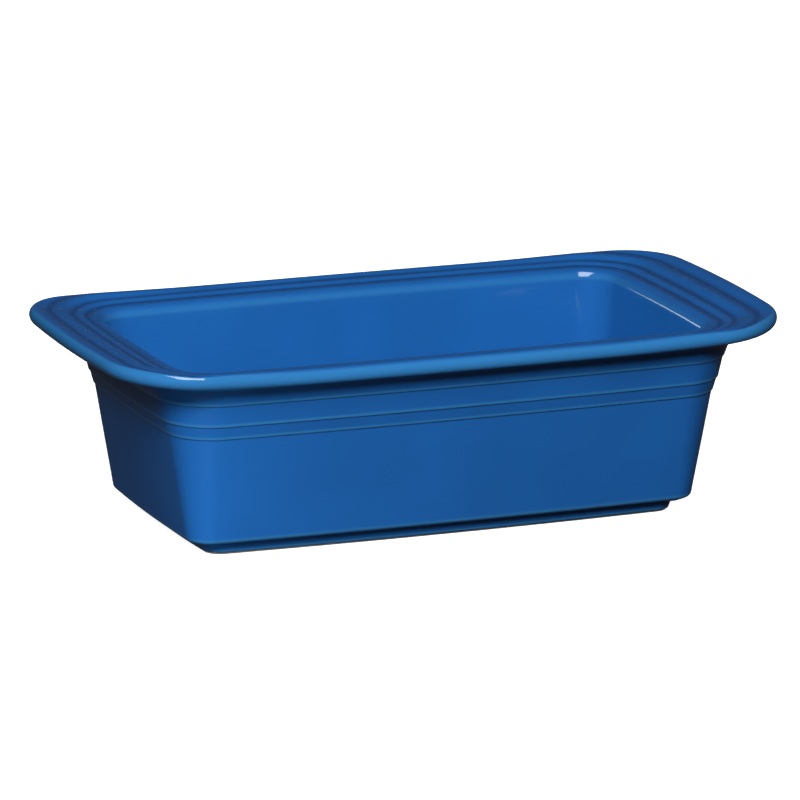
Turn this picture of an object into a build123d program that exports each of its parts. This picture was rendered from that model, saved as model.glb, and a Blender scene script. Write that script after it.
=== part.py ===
from build123d import *
import os
from math import atan, cos, pi, sin, sqrt

# Stoneware loaf pan with wide end flanges, in millimetres. +Z is up and +X runs along the pan.
# The origin is on the table, under the middle of the foot.
# Every wall line is a copy of one mouth outline, grown or shrunk. "out" is the distance outside it.

# Driving dimensions
pan_length = 273.0
pan_width = 146.0
glaze_thickness = 0.4

mouth_half_length = 108.0       # to the corners of the mouth, before its sides swell
mouth_half_width = 54.8
mouth_corner = 16.0
mouth_end_swell = 1.7
mouth_side_swell = 2.3

rim_corner = 33.0
rim_end_swell = 4.0
rim_side_swell = 1.8
rim_edge_thickness = 6.4
rim_crest = 75.7                # height of the rounded edge along the sides
rim_end_lift = 2.9              # the two ends sweep up by this much
rim_level_half = 50.0           # the edge is level this far each side of the middle
edge_fillet = 0.48              # rounding of the rim's edge, as a share of its thickness
hidden_chamfer = 0.28           # the same under the glaze, where a chamfer is enough

# Inner edge of the flange, a rounded lip: (out, height) of the centre of its arc
lip_centre = (1.4, 68.8)
lip_radius = 4.8

# Flange top, as (out, height): grooves at 4.3, 9.2 and 17.7, ridges between them
flange_terraces = [
    (4.3, 73.45), (6.6, 74.65), (9.2, 74.5), (13.4, 76.4), (15.6, 76.5), (17.7, 76.2), (22.3, 78.0)
]
flange_outer = (34.0, 78.9)
terrace_radius = 2.0
flange_underside_outer = (34.0, 73.9)
flange_underside_inner = (8.0, 68.4)
neck_radius = 3.5

# Three stepped rings round the wall: (out, height) of each lower edge, from the lowest
ring_edges = [(2.0, 47.9), (3.7, 53.1), (5.8, 61.5)]
ring_steps = [0.9, 0.9, 0.6]    # how far the wall steps in below each edge
ring_step_height = 1.4
ring_radius = 1.0
wall_bottom = (-6.6, 4.4)
wall_bottom_radius = 3.0

# The cavity's wall leans outward at this rate and runs tangent into the lip and the rounded floor edge
cavity_draft = 0.1494
cavity_floor = 8.0
cavity_floor_radius = 9.0
cavity_corner = 13.7            # plan radius of the corners, where the wall meets the rounded floor edge
floor_ring_width = 12.0         # the cutter of the rounded floor edge is a ring this wide

foot_root = (-11.0, 3.0)
foot_inset = 12.6               # the foot ring's outline, inside the mouth outline
foot_corner = 6.5
foot_taper = 20                 # degrees, wider where it joins the pan
foot_height = 3.4
foot_edge_radius = 1.0
foot_ring_width = 5.5
foot_recess = 1.8
foot_recess_corner = 4.5
foot_recess_taper = 30
glaze_line = 0.9                # the foot is bare clay below this height

# Limits of the stock that the cavity is cut from
wall_base_out = -15.0
slab_out = -11.5
slab_top = 22.0
overlap = 1.0
tall = 90.0
touching = 0.001


def swollen_rectangle(half_length, half_width, corner, end_swell, side_swell, height=0.0):
    """Rounded rectangle with four sides that bulge outward as long arcs."""
    x, y = half_length, half_width
    right = ThreePointArc((x, -y), (x + end_swell, 0), (x, y))
    back = ThreePointArc((x, y), (0, y + side_swell), (-x, y))
    left = ThreePointArc((-x, y), (-x - end_swell, 0), (-x, -y))
    front = ThreePointArc((-x, -y), (0, -y - side_swell), (x, -y))
    face = make_face(Curve() + [right, back, left, front])
    return Pos(0, 0, height) * fillet(face.vertices(), corner)


def mouth_copy(out, height=0.0, corner=None):
    """The mouth outline, grown by out, with concentric corners unless a corner radius is given."""
    radius = mouth_corner + out if corner is None else corner
    return swollen_rectangle(
        mouth_half_length + out, mouth_half_width + out, radius, mouth_end_swell, mouth_side_swell, height
    )


def section_plane(path):
    """Plane across the start of the path: x points outward and y points up."""
    start, along = path @ 0, path % 0
    outward = along.cross(Vector(0, 0, 1))
    return Plane(origin=(start.X, start.Y, 0), x_dir=outward, z_dir=outward.cross(Vector(0, 0, 1)))


def vertices_at(face, points):
    """The face's corners that lie on the given (out, height) points."""
    return [v for v in face.vertices() if any(abs(v.X - x) + abs(v.Y - y) < touching for x, y in points)]


def arc_point(centre, radius, angle):
    return (centre[0] + radius * cos(angle), centre[1] + radius * sin(angle))


def wall_ends(skin):
    """Where the cavity's wall leaves the lip and the rounded floor edge, and the centre of the latter."""
    tilt = atan(cavity_draft)
    lip_end = arc_point(lip_centre, lip_radius, pi - tilt)
    centre_height = cavity_floor + cavity_floor_radius
    wall_out = lip_end[0] + cavity_draft * (centre_height - lip_end[1])
    centre = (wall_out - cavity_floor_radius / cos(tilt), centre_height)
    upper = arc_point(lip_centre, lip_radius - skin, pi - tilt)
    lower = arc_point(centre, cavity_floor_radius + skin, -tilt)
    return upper, lower, centre


def wall_section(skin):
    """Section of the wall and its flange, drawn from the foot up the outside and back over the top."""
    base = foot_root[1] + skin
    bottom = [(wall_base_out, base), (foot_root[0], base)]
    heel = (wall_bottom[0] - skin, wall_bottom[1] + skin)
    rings = []
    for (out, height), step in zip(ring_edges, ring_steps):
        rings += [(out - step - skin, height - ring_step_height + skin), (out - skin, height + skin)]
    neck = (flange_underside_inner[0] - skin, flange_underside_inner[1] + skin)
    under = (flange_underside_outer[0], flange_underside_outer[1] + skin)
    outer = (flange_outer[0], flange_outer[1] - skin)
    terraces = [(out, height - skin) for out, height in reversed(flange_terraces)]
    radius = lip_radius - skin
    crest = arc_point(lip_centre, radius, pi / 2)
    shoulder = arc_point(lip_centre, radius, pi * 3 / 4)
    upper = wall_ends(skin)[0]
    shelf = (wall_base_out, upper[1])
    outline = Polyline(upper, shelf, *bottom, heel, *rings, neck, under, outer, *terraces, crest)
    section = make_face(Curve() + [outline, ThreePointArc(crest, shoulder, upper)])
    section = fillet(vertices_at(section, [heel]), wall_bottom_radius - skin)
    if skin:
        return section
    section = fillet(vertices_at(section, [neck]), neck_radius)
    section = fillet(vertices_at(section, terraces), terrace_radius)
    return fillet(vertices_at(section, rings[1::2]), ring_radius)


def swept_wall(skin):
    path = mouth_copy(0).face().outer_wire()
    return sweep(section_plane(path) * wall_section(skin), path=path)


def rim_line(height):
    """Side view of the rim's edge: level in the middle, and sweeping up to both ends."""
    end = pan_length / 2 + rim_edge_thickness
    run = pan_length / 2 - rim_level_half
    bend = (run ** 2 + rim_end_lift ** 2) / (2 * rim_end_lift)
    middle = (rim_level_half + end) / 2
    rise = [bend - sqrt(bend ** 2 - (x - rim_level_half) ** 2) for x in (middle, end)]
    left = ThreePointArc((-end, height + rise[1]), (-middle, height + rise[0]), (-rim_level_half, height))
    level = Line((-rim_level_half, height), (rim_level_half, height))
    right = ThreePointArc((rim_level_half, height), (middle, height + rise[0]), (end, height + rise[1]))
    return Curve() + [left, level, right]


def rim_plan(inset):
    """Plan of the rim's outer edge, shrunk by inset."""
    return swollen_rectangle(
        pan_length / 2 - rim_end_swell - inset,
        pan_width / 2 - rim_side_swell - inset,
        rim_corner - inset,
        rim_end_swell,
        rim_side_swell,
    )


def rim_blank(skin):
    """Everything inside the rim's rounded edge. It trims the flange to its outer shape."""
    thickness = rim_edge_thickness - 2 * skin
    upper = rim_line(rim_crest - skin)
    lower = rim_line(rim_crest - skin - thickness)
    sides = [Line(upper @ 0, lower @ 0), Line(upper @ 1, lower @ 1)]
    plate = extrude(Plane.XZ * make_face(Curve() + [upper, lower] + sides), pan_width, both=True)
    plate = plate & extrude(rim_plan(skin), tall)
    ring = [e for e in plate.edges() if goes_round(e)]
    if skin:
        plate = chamfer(ring, hidden_chamfer * thickness)
    else:
        plate = fillet(ring, edge_fillet * thickness)
    below = extrude(rim_plan(rim_edge_thickness / 2 + skin), rim_crest - rim_edge_thickness / 2)
    return plate + below


def goes_round(edge):
    """True for the edges that run along the rim, not down its side or straight across its top."""
    size = edge.bounding_box().size
    down = size.X < touching and size.Y < touching
    across = size.X < touching and size.Y > pan_width / 2
    return not down and not across


def foot(skin):
    """Low ring that carries the pan, set in from the wall, with a shallow recess inside it."""
    outline = mouth_copy(-foot_inset - skin, 0.0, foot_corner - skin)
    block = extrude(outline, foot_height + overlap, taper=-foot_taper)
    block = fillet(block.edges().group_by(Axis.Z)[0], foot_edge_radius)
    recess = mouth_copy(skin - foot_inset - foot_ring_width, 0.0, foot_recess_corner + skin)
    return block - extrude(recess, foot_recess + skin, taper=foot_recess_taper)


def cavity(skin):
    """The space for the dough below the lip, as three cutters: wall, rounded floor edge and floor."""
    upper, lower, centre = wall_ends(skin)
    floor = cavity_floor - skin
    outline = mouth_copy(lower[0], lower[1], cavity_corner + skin).face()
    mouth = mouth_copy(0).face()
    top = Pos(0, 0, upper[1]) * offset(mouth, amount=upper[0])
    wall = loft([outline, top.face()], ruled=True)
    start = (centre[0] - lower[0], floor)
    halfway = -(pi / 2 + atan(cavity_draft)) / 2
    middle = arc_point((start[0], centre[1]), cavity_floor_radius + skin, halfway)
    edge = ThreePointArc(start, middle, (0, lower[1]))
    sides = Polyline((0, lower[1]), (-floor_ring_width, lower[1]), (-floor_ring_width, floor), start)
    path = outline.outer_wire()
    ring = sweep(section_plane(path) * make_face(Curve() + [edge, sides]), path=path)
    inside = offset(outline, amount=overlap - floor_ring_width)
    block = extrude(Pos(0, 0, floor - lower[1]) * inside, lower[1] - floor)
    return wall, ring, block


def pan(skin):
    """The whole pan with every face moved inward by skin. The foot still stands on the table."""
    slab = extrude(mouth_copy(slab_out - skin, foot_root[1] + skin), slab_top - foot_root[1])
    body = (swept_wall(skin) & rim_blank(skin)) + slab + foot(skin)
    for cutter in cavity(skin):
        body = body - cutter
    return body


body = pan(glaze_thickness)
below_glaze_line = Pos(0, 0, glaze_line / 2 - overlap / 2) * Box(pan_length, pan_width, glaze_line + overlap)
coat = pan(0.0) - body - below_glaze_line

os.makedirs("parts", exist_ok=True)
export_step(body, "parts/stoneware_body.step")
export_step(coat, "parts/glaze_coat.step")
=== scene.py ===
import bmesh
import bpy
import numpy as np
from math import atan, cos, pi, radians, sin, sqrt, tan
from mathutils import Matrix, Vector


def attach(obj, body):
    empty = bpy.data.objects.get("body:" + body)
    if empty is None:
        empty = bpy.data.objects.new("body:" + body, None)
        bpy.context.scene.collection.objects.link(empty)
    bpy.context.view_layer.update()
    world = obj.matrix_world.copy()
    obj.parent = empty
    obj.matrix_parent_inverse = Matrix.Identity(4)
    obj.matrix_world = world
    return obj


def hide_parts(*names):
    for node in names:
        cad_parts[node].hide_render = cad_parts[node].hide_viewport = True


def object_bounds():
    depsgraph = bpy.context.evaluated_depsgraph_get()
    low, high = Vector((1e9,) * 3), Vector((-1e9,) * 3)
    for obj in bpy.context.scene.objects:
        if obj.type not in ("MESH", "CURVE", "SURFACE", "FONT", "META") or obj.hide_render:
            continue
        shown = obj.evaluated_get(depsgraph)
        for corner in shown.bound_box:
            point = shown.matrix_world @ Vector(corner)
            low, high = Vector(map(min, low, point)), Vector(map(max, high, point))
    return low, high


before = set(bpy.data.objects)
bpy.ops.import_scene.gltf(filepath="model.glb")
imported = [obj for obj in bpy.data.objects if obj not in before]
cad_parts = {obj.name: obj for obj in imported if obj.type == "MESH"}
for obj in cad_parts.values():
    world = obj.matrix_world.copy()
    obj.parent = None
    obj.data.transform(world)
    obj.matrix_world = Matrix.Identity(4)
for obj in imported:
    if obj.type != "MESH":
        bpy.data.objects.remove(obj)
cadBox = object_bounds()
mm = 0.001
print("frame loaded")

# the pan's form, in millimetres; "out" is the distance outside the mouth's outline
pan = {
    "mouth": (108.0, 54.8, 16.0, 1.7, 2.3),      # half length, half width, corner, swell of ends and sides
    "rimCorner": 33.0,
    "rimSwell": (4.0, 1.8),
    "edgeRadius": 3.15,                          # of the rounded edge that runs all round the rim
    "sideCrest": 75.7,                           # top of the rim half way along the sides
    "endLift": 2.9,                              # the rim sweeps up this much to both ends
    "levelHalf": 50.0,                           # and is level this far each side of the middle
    "lip": (1.4, 68.8, 4.8),                     # out, height and radius of the rounded inner edge
    "terraces": [(1.4, 73.6), (4.3, 73.45), (6.6, 74.65), (9.2, 74.5), (13.4, 76.4), (15.6, 76.5), (17.7, 76.2),
                 (22.3, 78.0), (34.0, 78.9)],    # out and height of each groove and ridge
    "evenTo": 9.2,                               # terraces inside this one keep their distance all round
    "blend": 0.9,                                # how softly the terraces run out into the rounded edge
    "under": [(8.0, 68.4), (34.0, 73.9)],        # underside of the rim
    "neckRadius": 3.5,                           # where the underside turns down into the wall
    "neckReach": 3.0,
    # the stepped rings as (out, height, radius) corners going down: a lip, then the step in below it
    "rings": [(5.7, 61.9, 0.8), (5.1, 61.4, 0.3), (3.4, 53.3, 0.8), (2.85, 52.9, 0.3),
              (1.5, 48.1, 0.8), (0.95, 47.7, 0.3)],
    "longest": 0.75,                             # longest step of the wall's profile
    "heel": (-6.2, 6.2, 2.0),                    # out, height and radius of the turn under the wall
    "bottomEdge": (-9.8, 4.6),
    "floor": 8.0,
    "floorRadius": 9.0,
    "cavityCorner": 13.7,
    "draft": 0.1494,                             # lean of the inside of the wall, for each unit of height
    "glaze": 0.4,
}
# the foot's outline on the table and its side, which starts this far outside it; then the bare ring and the recess
foot = {"halfLength": 94.2, "halfWidth": 42.8, "corner": 7.0, "start": 2.0, "cove": 1.0, "edge": 1.0, "ring": 5.5,
        "recess": 1.8, "recessTurn": 0.6, "recessLip": 3.0, "glazeLine": 0.9, "longest": 0.8}
# how many steps each part of the mesh has
steps = {"side": 100, "end": 44, "corner": 24, "floor": 16, "floorTurn": 12, "wall": 24, "lip": 14, "even": 26,
         "terraces": 58, "edge": 26, "under": 20, "recess": 10}


# colours are linear red, green and blue
glazeLook = {
    "deep": (0.0100, 0.0960, 0.330),
    # dark of pooled glaze, also used as painted shade in grooves and on level tops
    "poolAndShade": (0.0055, 0.036, 0.135),
    # lighter thin glaze on ridges, with a painted highlight in it
    "thinAndHighlight": (0.0210, 0.140, 0.350),
    # greyer glaze broken on sharp edges, with a painted highlight in it
    "sharpAndHighlight": (0.055, 0.165, 0.320),
    "thinHighlightFrom": 0.05,                # bend of the profile, per millimetre, where the glaze starts to run thin and take a painted highlight
    "thinHighlightTo": 0.30,
    "sharpHighlightFrom": 0.60,               # where it all but breaks, under a brighter painted highlight
    "sharpHighlightTo": 1.60,
    "poolShadeFrom": 0.15,                # and where it starts to pool and take painted shade
    "poolShadeTo": 0.90,
    "deepest": 0.55,                 # a tight inner corner pools and takes painted shade no more than this bend does
    "levelPaintedShade": 0.45,               # painted shade on upward-facing level tops: the bend they count for
    "mottle": 0.16,
    "mottleScale": 26.0,
    "speckScale": 900.0,
    "gloss": 0.07,
    "wave": 0.04,
    "bump": 0.02,
}


def swollenOutline(halfLength, halfWidth, corner, endSwell, sideSwell):
    # a rounded rectangle of tangent arcs whose sides and ends bow outward: its points and their outward directions
    sideRadius = (halfLength ** 2 + sideSwell ** 2) / (2 * sideSwell)
    endRadius = (halfWidth ** 2 + endSwell ** 2) / (2 * endSwell)
    sideCentre = np.array([0.0, halfWidth + sideSwell - sideRadius])
    endCentre = np.array([halfLength + endSwell - endRadius, 0.0])
    a, b = endRadius - corner, sideRadius - corner
    gap = sideCentre - endCentre
    apart = np.linalg.norm(gap)
    along = (a * a - b * b + apart * apart) / (2 * apart)
    u = gap / apart
    cornerCentre = endCentre + along * u + sqrt(a * a - along * along) * np.array([-u[1], u[0]]) * np.sign(-u[1])
    if cornerCentre[0] < 0:
        cornerCentre = endCentre + 2 * along * u - (cornerCentre - endCentre)
    endTurn = np.arctan2(*(cornerCentre - endCentre)[::-1])
    sideTurn = np.arctan2(*(cornerCentre - sideCentre)[::-1])
    arcs = [(endCentre, endRadius, 0, endTurn, steps["end"] // 2),
            (cornerCentre, corner, endTurn, sideTurn, steps["corner"]),
            (sideCentre, sideRadius, sideTurn, pi / 2, steps["side"] // 2)]
    points, away = [], []
    for centre, radius, start, stop, count in arcs:
        for turn in np.linspace(start, stop, count + 1)[:-1]:
            direction = np.array([cos(turn), sin(turn)])
            away.append(direction)
            points.append(centre + radius * direction)
    points.append(np.array([0.0, halfWidth + sideSwell]))
    away.append(np.array([0.0, 1.0]))
    return mirrored(points), mirrored(away)


def mirrored(quarter):
    quarter = np.array(quarter)
    half = np.concatenate([quarter, quarter[::-1][1:] * [-1, 1]])
    return np.concatenate([half, half[::-1][1:-1] * [1, -1]])


def roundedPath(corners, longest):
    # a line through (out, height, radius) corners, each turned by an arc, with no step longer than longest
    points = [np.array(corners[0][:2], float)]
    for before, here, after in zip(corners, corners[1:], corners[2:]):
        corner = np.array(here[:2], float)
        back = np.array(before[:2]) - corner
        onward = np.array(after[:2]) - corner
        room = 0.48 * min(np.linalg.norm(back), np.linalg.norm(onward))
        back /= np.linalg.norm(back)
        onward /= np.linalg.norm(onward)
        half = np.arccos(np.clip(back @ onward, -1, 1)) / 2
        reach = min(here[2] / tan(half), room)
        radius = reach * tan(half)
        middle = (back + onward) / np.linalg.norm(back + onward)
        centre = corner + middle * radius / sin(half)
        first, last = corner + back * reach - centre, corner + onward * reach - centre
        a = np.arctan2(first[1], first[0])
        turn = (np.arctan2(last[1], last[0]) - a + pi) % (2 * pi) - pi
        count = max(5, int(abs(turn) * radius / 0.35))
        turns = a + turn * np.linspace(0, 1, count)
        points += [centre + radius * np.array([cos(angle), sin(angle)]) for angle in turns]
    points.append(np.array(corners[-1][:2], float))
    filled = [points[0]]
    for point in points[1:]:
        start = filled[-1]
        count = int(np.linalg.norm(point - start) / longest) + 1
        filled += [start + (point - start) * (k + 1) / count for k in range(count)]
    return filled


def terraceHeight(out):
    # the grooves and ridges, softened over a millimetre or two
    first, last = pan["terraces"][0][0], pan["terraces"][-1][0]
    return sum(terraceCurve(np.clip(out + shift, first, last)) for shift in (-1.0, -0.5, 0, 0.5, 1.0)) / 5


def terraceCurve(out):
    x, z = (np.array(v) for v in zip(*pan["terraces"]))
    slope = np.gradient(z, x)
    slope[0] = 0
    slope[1:-1][(z[1:-1] - z[:-2]) * (z[2:] - z[1:-1]) <= 0] = 0
    k = np.clip(np.searchsorted(x, out) - 1, 0, len(x) - 2)
    span = x[k + 1] - x[k]
    t = (out - x[k]) / span
    rise = (3 * t ** 2 - 2 * t ** 3) * (z[k + 1] - z[k])
    return z[k] + rise + span * ((t ** 3 - 2 * t ** 2 + t) * slope[k] + (t ** 3 - t ** 2) * slope[k + 1])


def distanceTo(points, outline):
    start = outline
    run = np.roll(outline, -1, 0) - start
    square = (run ** 2).sum(1)
    gap = points[:, None, :] - start[None]
    t = np.clip((gap * run[None]).sum(2) / square, 0, 1)
    return np.sqrt(((gap - t[..., None] * run[None]) ** 2).sum(2)).min(1)


def softMin(a, b, width):
    t = np.clip(0.5 + 0.5 * (b - a) / width, 0, 1)
    return b * (1 - t) + a * t - width * t * (1 - t)


def softMax(a, b, width):
    return -softMin(-a, -b, width)


def ringOf(flat, height):
    return np.column_stack([flat, np.broadcast_to(height, len(flat))])


def towardsMiddle(edge, count, height):
    # rings that close an oval up along a line down its middle
    halfLine = pan["mouth"][0] - pan["mouth"][1]
    line = np.column_stack([np.clip(edge[:, 0], -halfLine, halfLine), np.zeros(len(edge))])
    return [ringOf(edge + (line - edge) * f, height) for f in np.linspace(0, 1, count)[1:]]


def wallLine(inset):
    # where the inside of the wall leaves the rounded lip and the rounded floor edge, and the middle of the latter
    lipOut, lipHeight, lipRadius = pan["lip"]
    slope = pan["draft"]
    lean = sqrt(1 + slope ** 2)
    radius = pan["floorRadius"]
    middleHeight = pan["floor"] + radius
    wallOut = lipOut - lipRadius / lean + slope * (middleHeight - lipHeight - lipRadius * slope / lean)
    middleOut = wallOut - radius * lean
    lipRadius -= inset
    radius += inset
    high = (lipOut - lipRadius / lean, lipHeight + lipRadius * slope / lean)
    low = (middleOut + radius / lean, middleHeight - radius * slope / lean)
    return high, low, (middleOut, middleHeight), radius


def cavityRings(inset, detail):
    # floor, rounded floor edge, drafted wall and rounded lip, from the middle of the floor outward
    a, b, corner, ends, sides = pan["mouth"]
    high, low, middle, radius = wallLine(inset)
    line, away = swollenOutline(a + low[0], b + low[0], pan["cavityCorner"] + inset, ends, sides)
    start = middle[0] - low[0]
    rings = towardsMiddle(line + away * start, steps["floor"] // detail + 2, middle[1] - radius)[::-1]
    tilt = atan(pan["draft"])
    for turn in np.linspace(-pi / 2, -tilt, steps["floorTurn"] // detail + 3):
        rings.append(ringOf(line + away * (start + radius * cos(turn)), middle[1] + radius * sin(turn)))
    mouth, away = swollenOutline(*pan["mouth"])
    lipOut, lipHeight, lipRadius = pan["lip"]
    lipRadius -= inset
    arc = [ringOf(mouth + away * (lipOut + lipRadius * cos(t)), lipHeight + lipRadius * sin(t))
           for t in np.linspace(pi - tilt, pi / 2, steps["lip"] // detail + 2)]
    below = rings[-1]
    rings += [below + (arc[0] - below) * f for f in np.linspace(0, 1, steps["wall"] // detail + 2)[1:-1]]
    return rings + arc


def rimOutline(inset):
    length, width = (cadBox[1][k] / mm for k in (0, 1))
    ends, sides = pan["rimSwell"]
    return swollenOutline(length - ends - inset, width - sides - inset, pan["rimCorner"] - inset, ends, sides)


def edgeMiddle(x):
    # height of the middle of the rounded edge, which sweeps up towards both ends
    run = np.clip(np.abs(x) - pan["levelHalf"], 0, None) / (cadBox[1][0] / mm - pan["levelHalf"])
    return pan["sideCrest"] - pan["edgeRadius"] + pan["endLift"] * run ** 2


def underHeight(out):
    (x0, z0), (x1, z1) = pan["under"]
    return z0 + (z1 - z0) / (x1 - x0) * (out - x0)


def rimRings(inset, detail):
    # the lip, the terraces, the rounded edge and the underside back to the neck
    mouth, away = swollenOutline(*pan["mouth"])
    rings = cavityRings(inset, detail)
    rim, rimAway = rimOutline(inset)
    edge = pan["edgeRadius"] - inset
    bead = rim - rimAway * edge
    start = pan["lip"][0]
    even = mouth + away * pan["evenTo"]
    flats = [mouth + away * out for out in np.linspace(start, pan["evenTo"], steps["even"] // detail + 2)[1:]]
    flats += [even + (bead - even) * f for f in np.linspace(0, 1, steps["terraces"] // detail + 2)[1:]]
    for flat in flats:
        out = distanceTo(flat, mouth) * np.sign(((flat - mouth) * away).sum(1))
        top = edgeMiddle(flat[:, 0]) + edge
        rings.append(ringOf(flat, softMin(terraceHeight(out) - inset, top, pan["blend"])))
    for turn in np.linspace(pi / 2, -pi / 2, steps["edge"] // detail + 3)[1:]:
        flat = rim - rimAway * edge * (1 - cos(turn))
        out = distanceTo(flat, mouth)
        z = edgeMiddle(flat[:, 0]) + edge * sin(turn)
        if turn > 0:
            z = softMin(terraceHeight(out) - inset, z, pan["blend"])
        else:
            z = softMax(underHeight(out) + inset, z, pan["blend"])
        rings.append(ringOf(flat, z))
    neck = mouth + away * (pan["under"][0][0] + pan["neckReach"])
    for f in np.linspace(0, 1, steps["under"] // detail + 2)[1:-1]:
        flat = bead + (neck - bead) * f
        out = distanceTo(flat, mouth)
        bottom = edgeMiddle(flat[:, 0]) - edge
        rings.append(ringOf(flat, softMax(underHeight(out) + inset, bottom, pan["blend"])))
    return rings


def wallRings(inset, detail):
    # outside of the pan from the neck down over the stepped rings to where it turns under
    mouth, away = swollenOutline(*pan["mouth"])
    neck, height = pan["under"][0]
    reach = neck + pan["neckReach"]
    corners = [(reach, underHeight(reach) + inset), (neck - inset, height + inset, pan["neckRadius"] + inset)]
    corners += [(out - inset, height, ringRadius) for out, height, ringRadius in pan["rings"]]
    out, height, radius = pan["heel"]
    corners.append((out - inset, height + inset, radius - inset))
    corners.append((pan["bottomEdge"][0], pan["bottomEdge"][1] + inset))
    path = roundedPath(corners, pan["longest"] * detail)
    if detail > 1:
        path = path[::2] + path[-1:]
    return [ringOf(mouth + away * out, height) for out, height in path]


def footPath(inset):
    # the foot's side, its bare contact ring and the recess inside it, measured from the foot's outline
    inner = inset - foot["ring"]
    recess = foot["recess"] + inset
    start, height = foot["start"], pan["bottomEdge"][1] + inset
    return roundedPath(
        [(start + 0.2, height), (start - 0.4 - inset, height - 0.2, foot["cove"]), (-inset, 0, foot["edge"]),
         (inner, 0, foot["recessTurn"]), (inner - 0.4, recess, foot["recessTurn"]),
         (inner - foot["recessLip"], recess)], foot["longest"]
    )


def parted(path, height):
    # a path that dips below a height and comes back up, in three: before, below and after
    low = [k for k, point in enumerate(path) if point[1] < height]
    first, last = low[0], low[-1]

    def crossing(p, q):
        return p + (q - p) * (height - p[1]) / (q[1] - p[1])
    down = crossing(path[first - 1], path[first])
    up = crossing(path[last + 1], path[last])
    return path[:first] + [down], [down] + path[first:last + 1] + [up], [up] + path[last + 1:]


def footRings(path):
    ends, sides = pan["mouth"][3:]
    line, away = swollenOutline(foot["halfLength"], foot["halfWidth"], foot["corner"], ends, sides)
    return [ringOf(line + away * out, height) for out, height in path]


def closedMesh(name, shells):
    # each shell is a run of rings; rings are joined to the next, and the ends close on themselves or on each other
    vertices, faces, masks = [], [], []
    for rings, joined in shells:
        grid = np.array(rings)
        count, around = grid.shape[:2]
        offset = sum(len(v) for v in vertices)
        vertices.append(grid.reshape(-1, 3) * mm)
        masks.append(profileBend(grid, joined).ravel())
        for k in range(count if joined else count - 1):
            this, other = offset + k * around, offset + (k + 1) % count * around
            for s in range(around):
                t = (s + 1) % around
                faces.append((this + s, this + t, other + t, other + s))
    mesh = bpy.data.meshes.new(name)
    mesh.from_pydata(np.concatenate(vertices).tolist(), [], faces)
    bend = mesh.attributes.new("bend", "FLOAT", "POINT")
    bend.data.foreach_set("value", np.concatenate(masks))
    piece = bpy.data.objects.new(name, mesh)
    bpy.context.collection.objects.link(piece)
    tidyMesh(mesh)
    return piece


def tidyMesh(mesh):
    work = bmesh.new()
    work.from_mesh(mesh)
    bmesh.ops.remove_doubles(work, verts=work.verts, dist=2e-6)
    bmesh.ops.recalc_face_normals(work, faces=work.faces)
    for face in work.faces:
        face.smooth = True
    work.to_mesh(mesh)
    work.free()


def profileBend(grid, joined):
    # how sharply each ring's profile turns: above 0 on ridges, where glaze runs thin under a painted highlight,
    # and below 0 in grooves, where it pools under painted shade; level places facing up also go below 0, as
    # painted shade on the tops
    before, after = np.roll(grid, 1, 0), np.roll(grid, -1, 0)
    if not joined:
        before[0], after[-1] = grid[0], grid[-1]
    into, onward = grid - before, after - grid
    a = np.linalg.norm(into, axis=2) + 1e-6
    b = np.linalg.norm(onward, axis=2) + 1e-6
    around = np.roll(grid, -1, 1) - np.roll(grid, 1, 1)
    normal = np.cross(into / a[..., None] + onward / b[..., None], around)
    normal /= np.linalg.norm(normal, axis=2)[..., None] + 1e-9
    turn = -((onward / b[..., None] - into / a[..., None]) * normal).sum(2) / (0.5 * (a + b))
    turn = np.clip(turn, -glazeLook["deepest"], glazeLook["sharpHighlightTo"])
    # painted shade: surfaces that face up count as pooled, so the tops come out darker
    turn -= glazeLook["levelPaintedShade"] * np.clip(normal[..., 2], 0, 1) ** 6
    for _ in range(3):
        turn = 0.25 * np.roll(turn, 1, 0) + 0.5 * turn + 0.25 * np.roll(turn, -1, 0)
    return turn


def makeGlaze():
    outside = rimRings(0, 1) + wallRings(0, 1)
    inside = rimRings(pan["glaze"], 2) + wallRings(pan["glaze"], 2)
    outerFoot, _, outerRecess = parted(footPath(0), foot["glazeLine"])
    innerFoot, _, innerRecess = parted(footPath(pan["glaze"]), foot["glazeLine"])
    outside += footRings(outerFoot)
    inside += footRings(innerFoot)
    recess = footRings(outerRecess)
    recess += towardsMiddle(recess[-1][:, :2], steps["recess"], foot["recess"])
    backing = footRings(innerRecess)
    backing += towardsMiddle(backing[-1][:, :2], steps["recess"], foot["recess"] + pan["glaze"])
    # the two skins meet along the glaze line, and each closes on its own middle line
    return closedMesh("blueGlaze", [(outside + inside[::-1], False), (recess[::-1] + backing, False)])


def makeClay():
    inset = pan["glaze"]
    rings = rimRings(inset, 2) + wallRings(inset, 2) + footRings(footPath(inset))
    rings += towardsMiddle(rings[-1][:, :2], steps["recess"], foot["recess"] + inset)
    return closedMesh("stonewareBody", [(rings, False)])


print("making the pan")
glaze = makeGlaze()
clay = makeClay()
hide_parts("glaze_coat")
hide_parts("stoneware_body")
for piece, slot in ((glaze, "blue_glaze"), (clay, "bare_stoneware")):
    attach(piece, "root")
print("pan made of", len(glaze.data.polygons) + len(clay.data.polygons), "faces")


clayLook = {
    "clay": (0.52, 0.46, 0.38),
    "iron": (0.23, 0.15, 0.09),
    "gloss": 0.72,
    "grain": 0.25,
    "grainScale": 1400.0,
}


def groupOf(name, inputs, outputs):
    # an empty node group with its sockets, and its two end nodes
    group = bpy.data.node_groups.new(name, "ShaderNodeTree")
    for label, kind, value in inputs:
        socket = group.interface.new_socket(label, in_out="INPUT", socket_type=kind)
        socket.default_value = value
    for label, kind in outputs:
        group.interface.new_socket(label, in_out="OUTPUT", socket_type=kind)
    return group, group.nodes.new("NodeGroupInput"), group.nodes.new("NodeGroupOutput")


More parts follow.
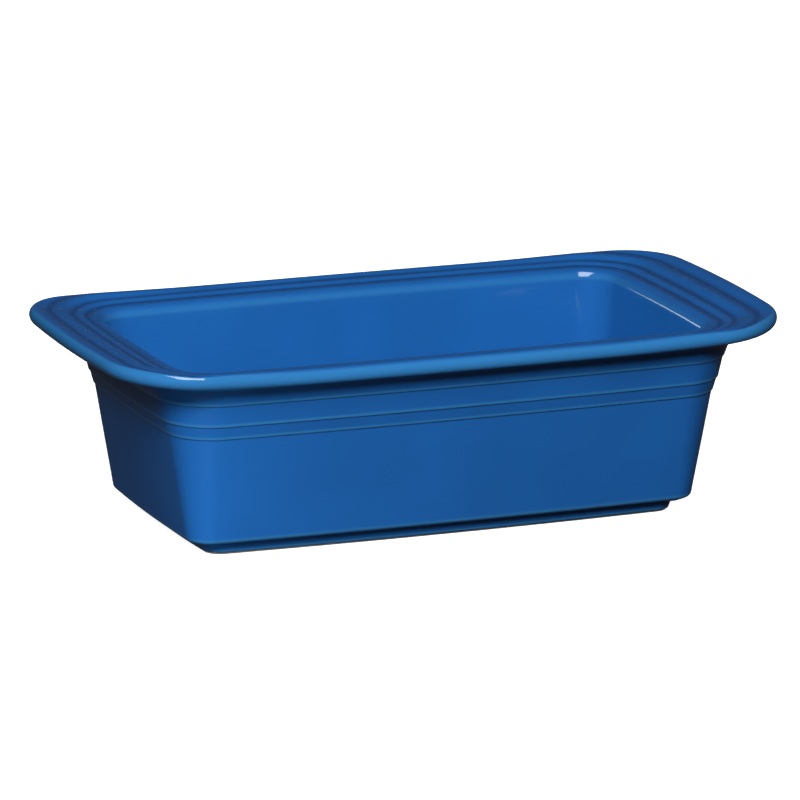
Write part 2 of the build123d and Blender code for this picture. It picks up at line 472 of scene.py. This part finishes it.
def noise(tree, coordinate, scale, detail):
    node = tree.nodes.new("ShaderNodeTexNoise")
    node.inputs["Detail"].default_value = detail
    tree.links.new(coordinate, node.inputs["Vector"])
    if isinstance(scale, (int, float)):
        node.inputs["Scale"].default_value = scale
    else:
        tree.links.new(scale, node.inputs["Scale"])
    return node.outputs["Fac"]


def blendColour(tree, factor, first, second):
    node = tree.nodes.new("ShaderNodeMix")
    node.data_type = "RGBA"
    tree.links.new(factor, node.inputs["Factor"])
    for value, key in ((first, "A"), (second, "B")):
        socket = [s for s in node.inputs if s.name == key and s.type == "RGBA"][0]
        if isinstance(value, tuple):
            socket.default_value = (*value, 1)
        else:
            tree.links.new(value, socket)
    return [s for s in node.outputs if s.type == "RGBA"][0]


def remap(tree, value, fromLow, fromHigh, toLow=0.0, toHigh=1.0):
    node = tree.nodes.new("ShaderNodeMapRange")
    node.interpolation_type = "SMOOTHSTEP"
    tree.links.new(value, node.inputs["Value"])
    for key, number in (("From Min", fromLow), ("From Max", fromHigh), ("To Min", toLow), ("To Max", toHigh)):
        if isinstance(number, (int, float)):
            node.inputs[key].default_value = number
        else:
            tree.links.new(number, node.inputs[key])
    return node.outputs["Result"]


def multiply(tree, first, second):
    node = tree.nodes.new("ShaderNodeMath")
    node.operation = "MULTIPLY"
    for value, socket in ((first, node.inputs[0]), (second, node.inputs[1])):
        if isinstance(value, (int, float)):
            socket.default_value = value
        else:
            tree.links.new(value, socket)
    return node.outputs["Value"]


def glazeBreakAndLightGroup():
    # glaze runs thin over ridges, with a painted highlight, and pools in grooves and on level tops, with painted
    # shade
    limits = ("thinHighlightFrom", "thinHighlightTo", "sharpHighlightFrom", "sharpHighlightTo", "poolShadeFrom", "poolShadeTo")
    group, start, end = groupOf(
        "glazeBreakAndLight",
        [("Bend", "NodeSocketFloat", 0)] + [(key, "NodeSocketFloat", glazeLook[key]) for key in limits],
        [("ThinAndHighlight", "NodeSocketFloat"), ("SharpAndHighlight", "NodeSocketFloat"), ("PoolAndShade", "NodeSocketFloat")],
    )
    links = group.links
    bend = start.outputs["Bend"]
    thinAndHighlight = remap(group, bend, start.outputs["thinHighlightFrom"], start.outputs["thinHighlightTo"])
    sharpAndHighlight = remap(group, bend, start.outputs["sharpHighlightFrom"], start.outputs["sharpHighlightTo"])
    poolAndShade = remap(group, multiply(group, bend, -1), start.outputs["poolShadeFrom"], start.outputs["poolShadeTo"])
    links.new(thinAndHighlight, end.inputs["ThinAndHighlight"])
    links.new(sharpAndHighlight, end.inputs["SharpAndHighlight"])
    links.new(poolAndShade, end.inputs["PoolAndShade"])
    return group


def firedGrainGroup():
    # cloudy tone, fine specks and a gentle unevenness, all from the object's own position
    group, start, end = groupOf(
        "firedGrain",
        [("Cloud Scale", "NodeSocketFloat", 26), ("Speck Scale", "NodeSocketFloat", 900)],
        [("Cloud", "NodeSocketFloat"), ("Specks", "NodeSocketFloat"), ("Height", "NodeSocketFloat")],
    )
    place = group.nodes.new("ShaderNodeTexCoord").outputs["Object"]
    cloud = noise(group, place, start.outputs["Cloud Scale"], 3)
    specks = noise(group, place, start.outputs["Speck Scale"], 2)
    group.links.new(remap(group, cloud, 0.3, 0.7), end.inputs["Cloud"])
    group.links.new(remap(group, specks, 0.62, 0.74), end.inputs["Specks"])
    total = group.nodes.new("ShaderNodeMath")
    total.operation = "ADD"
    group.links.new(cloud, total.inputs[0])
    group.links.new(multiply(group, specks, 0.04), total.inputs[1])
    group.links.new(total.outputs["Value"], end.inputs["Height"])
    return group


def placeGroup(tree, group, values):
    node = tree.nodes.new("ShaderNodeGroup")
    node.node_tree = group
    for key, value in values.items():
        node.inputs[key].default_value = value
    return node


def newMaterial(name):
    material = bpy.data.materials.new(name)
    material.use_nodes = True
    shader = material.node_tree.nodes["Principled BSDF"]
    return material, material.node_tree, shader


def addBump(tree, shader, height, strength, distance):
    bump = tree.nodes.new("ShaderNodeBump")
    bump.inputs["Strength"].default_value = strength
    bump.inputs["Distance"].default_value = distance
    tree.links.new(height, bump.inputs["Height"])
    tree.links.new(bump.outputs["Normal"], shader.inputs["Normal"])


def glazeMaterial(breakingAndLight, grain):
    material, tree, shader = newMaterial("blueGlaze")
    bend = tree.nodes.new("ShaderNodeAttribute")
    bend.attribute_name = "bend"
    edges = placeGroup(tree, breakingAndLight, {})
    tree.links.new(bend.outputs["Fac"], edges.inputs["Bend"])
    scales = {"Cloud Scale": glazeLook["mottleScale"], "Speck Scale": glazeLook["speckScale"]}
    fired = placeGroup(tree, grain, scales)
    colour = blendColour(tree, multiply(tree, fired.outputs["Cloud"], glazeLook["mottle"]),
                         glazeLook["deep"], glazeLook["poolAndShade"])
    # painted shade: grooves and level tops darkened, over the glaze's own pooling
    colour = blendColour(tree, edges.outputs["PoolAndShade"], colour, glazeLook["poolAndShade"])
    # painted highlights: ridges and sharp edges lightened, over the glaze's own thinning
    colour = blendColour(tree, edges.outputs["ThinAndHighlight"], colour, glazeLook["thinAndHighlight"])
    colour = blendColour(tree, edges.outputs["SharpAndHighlight"], colour, glazeLook["sharpAndHighlight"])
    tree.links.new(colour, shader.inputs["Base Color"])
    rough = remap(tree, fired.outputs["Cloud"], 0.0, 1.0, glazeLook["gloss"], glazeLook["gloss"] * 1.5)
    tree.links.new(rough, shader.inputs["Roughness"])
    shader.inputs["IOR"].default_value = 1.5
    addBump(tree, shader, fired.outputs["Height"], glazeLook["wave"], glazeLook["bump"] * mm)
    return material


def clayMaterial(grain):
    material, tree, shader = newMaterial("bareStoneware")
    fired = placeGroup(tree, grain, {"Cloud Scale": 90.0, "Speck Scale": clayLook["grainScale"]})
    colour = blendColour(tree, fired.outputs["Specks"], clayLook["clay"], clayLook["iron"])
    tree.links.new(colour, shader.inputs["Base Color"])
    rough = remap(tree, fired.outputs["Cloud"], 0.0, 1.0, clayLook["gloss"], 0.9)
    tree.links.new(rough, shader.inputs["Roughness"])
    addBump(tree, shader, fired.outputs["Height"], clayLook["grain"], 0.1 * mm)
    return material


breakingAndLight = glazeBreakAndLightGroup()
grain = firedGrainGroup()
glaze.data.materials.append(glazeMaterial(breakingAndLight, grain))
clay.data.materials.append(clayMaterial(grain))
print("materials ready")


# the view, in degrees and metres; the camera looks level past the middle of the pan
view = {"azimuth": -21.898, "elevation": 14.179, "roll": 0.445, "distance": 2.61036, "right": -0.000989,
        "up": 0.003544, "height": 0.038, "lens": 307.5, "sensor": 36.0}
# each light: direction from the pan, distance, width and height in metres, brightness, and whether it lights the
# surfaces or is only seen in their gloss
lights = {
    "main": {"from": (-0.21, -0.80, 0.56), "away": 1.6, "size": (0.36, 0.36), "power": 25.5, "lights": True},
    "side": {"from": (-0.58, -0.58, 0.57), "away": 1.6, "size": (0.4, 0.4), "power": 14.5, "lights": True},
    "backFill": {"from": (0.42, 0.88, 0.20), "away": 1.8, "size": (0.9, 0.7), "power": 17.0, "lights": True},
    "bounce": {"from": (-0.125, -0.105, -0.030), "away": 0.166, "size": (0.06, 0.03), "power": 0.022,
               "lights": True},
    "key": {"from": (-0.08, -0.41, 0.905), "away": 3.0, "size": (1.55, 2.6), "power": 126.0, "lights": False},
    "lowStrip": {"from": (-0.43, 0.90, 0.10), "away": 1.5, "size": (0.5, 0.14), "power": 0.9, "lights": False},
}
# a dark card that keeps the low strip out of the gloss of the left end: its two lower corners and its height
card = {"from": (-0.42, 0.27), "to": (-0.135, 0.33), "bottom": 0.02, "top": 0.22}


def makeCamera():
    azimuth, elevation, roll = (radians(view[k]) for k in ("azimuth", "elevation", "roll"))
    back = Vector((sin(azimuth) * cos(elevation), -cos(azimuth) * cos(elevation), sin(elevation)))
    right = Vector((cos(azimuth), sin(azimuth), 0))
    up = right.cross(-back)
    tilted = right * cos(roll) + up * sin(roll)
    upright = up * cos(roll) - right * sin(roll)
    camera = bpy.data.objects.new("camera", bpy.data.cameras.new("camera"))
    camera.data.sensor_width = view["sensor"]
    camera.data.lens = view["lens"]
    camera.data.clip_end = 50
    rotation = Matrix((tilted, upright, back)).transposed()
    place = Vector((0, 0, view["height"])) + back * view["distance"]
    place += tilted * view["right"] + upright * view["up"]
    camera.matrix_world = Matrix.Translation(place) @ rotation.to_4x4()
    bpy.context.collection.objects.link(camera)
    bpy.context.scene.camera = camera


def makeLight(name, look):
    light = bpy.data.lights.new(name, "AREA")
    light.shape = "RECTANGLE"
    light.size, light.size_y = look["size"]
    light.energy = look["power"]
    lamp = bpy.data.objects.new(name, light)
    direction = Vector(look["from"]).normalized()
    lamp.location = direction * look["away"] + Vector((0, 0, view["height"]))
    lamp.rotation_euler = direction.to_track_quat("Z", "Y").to_euler()
    lamp.visible_glossy = not look["lights"]
    lamp.visible_diffuse = look["lights"]
    lamp.visible_camera = False
    bpy.context.collection.objects.link(lamp)


def makeFloor():
    mesh = bpy.data.meshes.new("floor")
    reach = 6.0
    under = -0.1 * mm
    corners = [(x * reach, y * reach, under) for x, y in ((-1, -1), (1, -1), (1, 1), (-1, 1))]
    mesh.from_pydata(corners, [], [(0, 1, 2, 3)])
    floor = bpy.data.objects.new("floor", mesh)
    bpy.context.collection.objects.link(floor)
    material, _, shader = newMaterial("paleFloor")
    shader.inputs["Base Color"].default_value = (0.75, 0.75, 0.75, 1)
    shader.inputs["Roughness"].default_value = 0.9
    shader.inputs["Emission Color"].default_value = (1, 1, 1, 1)
    shader.inputs["Emission Strength"].default_value = 0.92
    mesh.materials.append(material)
    floor.visible_diffuse = False
    floor.visible_glossy = False


def makeCard():
    (x0, y0), (x1, y1) = card["from"], card["to"]
    low, high = card["bottom"], card["top"]
    mesh = bpy.data.meshes.new("darkCard")
    mesh.from_pydata([(x0, y0, low), (x1, y1, low), (x1, y1, high), (x0, y0, high)], [], [(0, 1, 2, 3)])
    piece = bpy.data.objects.new("darkCard", mesh)
    bpy.context.collection.objects.link(piece)
    material, _, shader = newMaterial("darkCard")
    shader.inputs["Base Color"].default_value = (0, 0, 0, 1)
    shader.inputs["Roughness"].default_value = 1.0
    mesh.materials.append(material)
    piece.visible_camera = False


def makeWorld():
    # white behind the pan; what reaches the pan itself is a dim grey
    world = bpy.data.worlds.new("studio")
    world.use_nodes = True
    tree = world.node_tree
    background = tree.nodes["Background"]
    path = tree.nodes.new("ShaderNodeLightPath")
    tree.links.new(remap(tree, path.outputs["Is Camera Ray"], 0, 1, 0.035, 1.0), background.inputs["Strength"])
    background.inputs["Color"].default_value = (1, 1, 1, 1)
    bpy.context.scene.world = world
    bpy.context.scene.view_settings.view_transform = "Standard"


makeCamera()
for name, look in lights.items():
    makeLight(name, look)
makeFloor()
makeCard()
makeWorld()
print("camera and lights ready")
